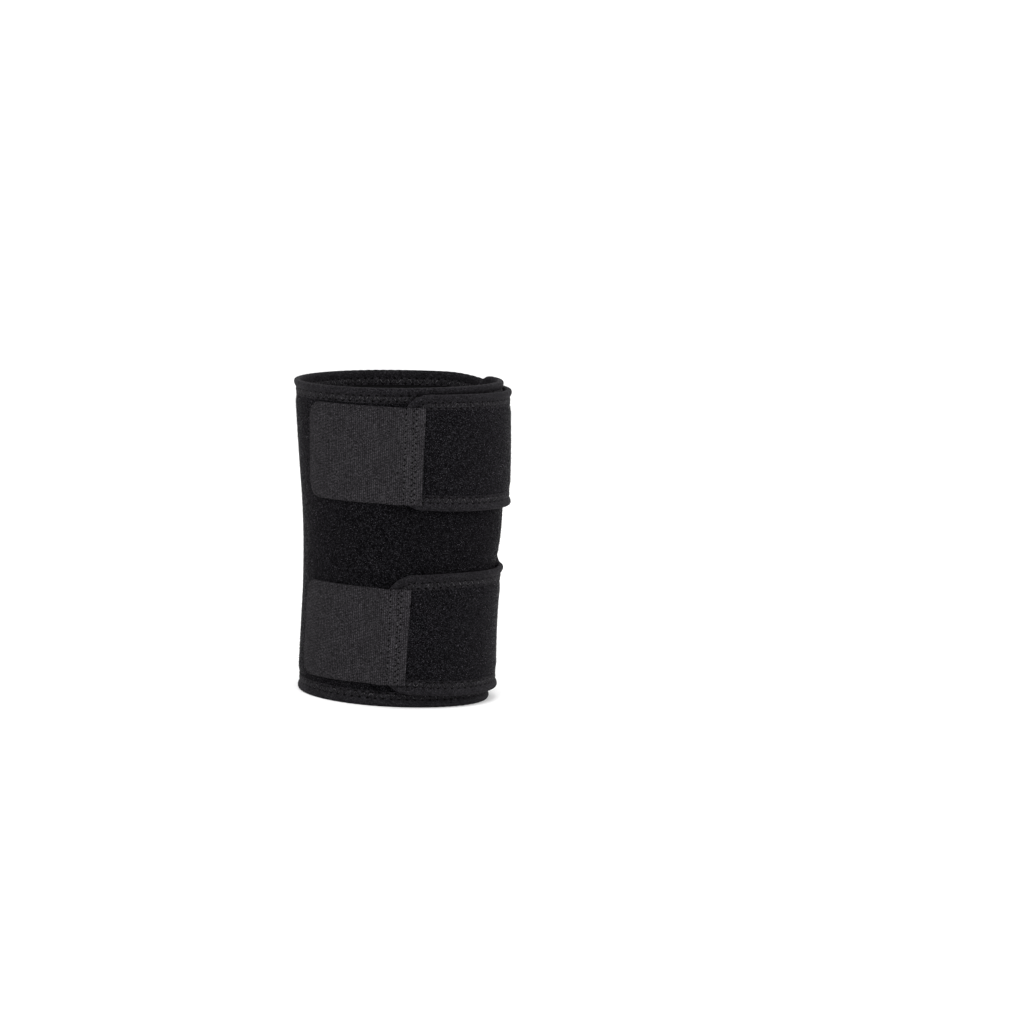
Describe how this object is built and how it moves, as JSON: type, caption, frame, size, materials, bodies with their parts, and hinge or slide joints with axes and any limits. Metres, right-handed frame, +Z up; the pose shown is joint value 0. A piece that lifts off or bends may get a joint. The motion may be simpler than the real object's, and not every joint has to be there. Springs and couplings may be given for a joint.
{
  "type": "shin wrap",
  "caption": "Black neoprene shin wrap: a bound foam panel wound into an open tapering tube, closed by straps with hook tabs over its outer side.",
  "frame": {"origin": "on the floor under the middle of the wrap's box, as it stands on its lower edge", "axes": "+Z up along the hollow, +X to the front where the straps come round, -Y to the outer side that carries the hook tabs"},
  "size_m": [0.1168, 0.1102, 0.1699],
  "materials": {
    "loop_foam": "black neoprene foam faced with fine brushed loop pile",
    "binding_tape": "black knitted edge tape, folded over and sewn with zigzag thread",
    "hook_tape": "charcoal hook tape, finely ribbed woven back outward"
  },
  "bodies": {
    "root": {"wrap_panel": "loop_foam", "top_binding": "binding_tape", "bottom_binding": "binding_tape", "inner_end_binding": "binding_tape", "notch_binding": "binding_tape", "upper_strap": "loop_foam", "upper_strap_binding": "binding_tape", "upper_hook_tab": "hook_tape", "lower_strap": "loop_foam", "lower_strap_binding": "binding_tape", "lower_hook_tab": "hook_tape"}
  },
  "joints": []
}
